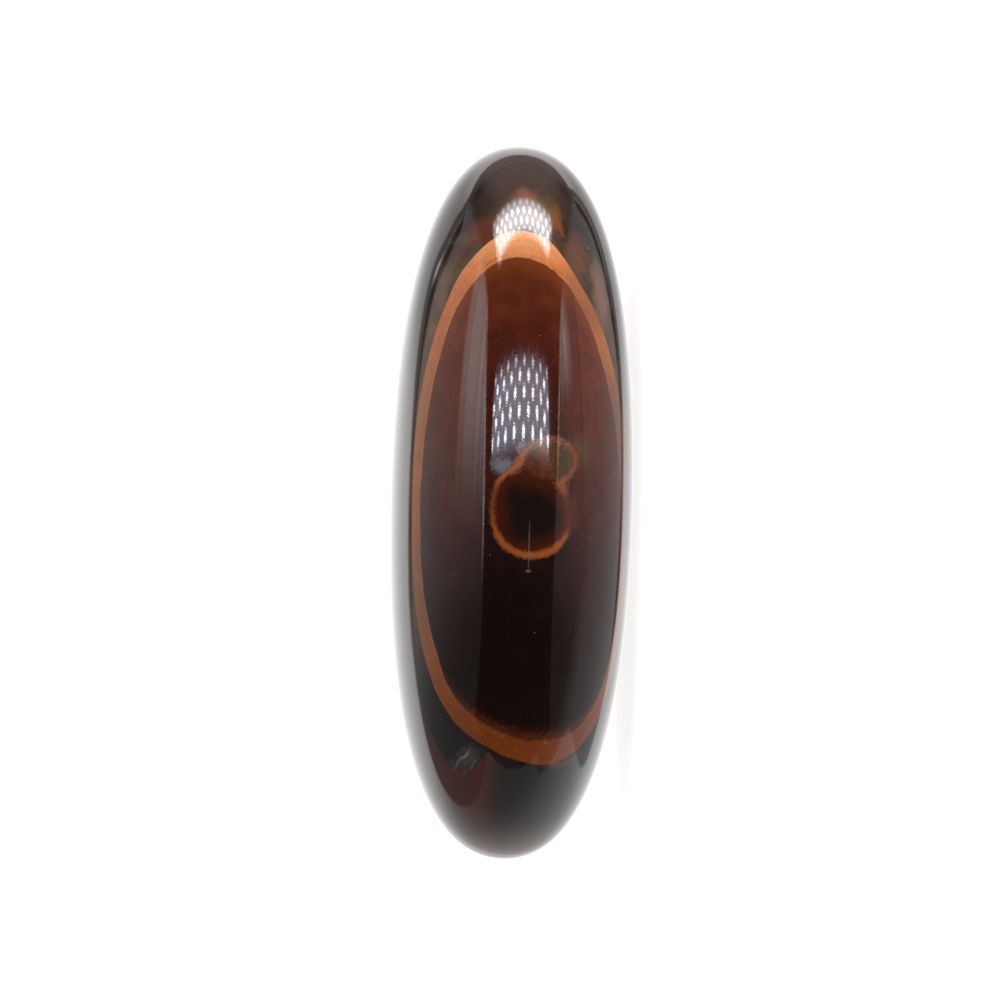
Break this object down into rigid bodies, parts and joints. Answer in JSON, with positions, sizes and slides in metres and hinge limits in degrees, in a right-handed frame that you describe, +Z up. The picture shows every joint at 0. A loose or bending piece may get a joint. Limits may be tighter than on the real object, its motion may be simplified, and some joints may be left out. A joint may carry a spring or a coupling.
{
  "type": "palm stone",
  "caption": "Smooth oval palm stone of dark brown banded chalcedony, domed on both broad faces with a rounded edge all round, polished to be held in the hand.",
  "frame": {"origin": "under the middle of the stone, on the surface it rests on: the centre of its box in X and Y, and the height of its small flat spot", "axes": "+X along the stone's length, towards its slightly slimmer end; +Y across its width; +Z up through its thickness, with the stone lying on one of its two broad faces"},
  "size_m": [0.07, 0.05, 0.0235],
  "materials": {
    "polished_chalcedony": "polished"
  },
  "bodies": {
    "root": {"palm_stone": "polished_chalcedony"}
  },
  "joints": []
}
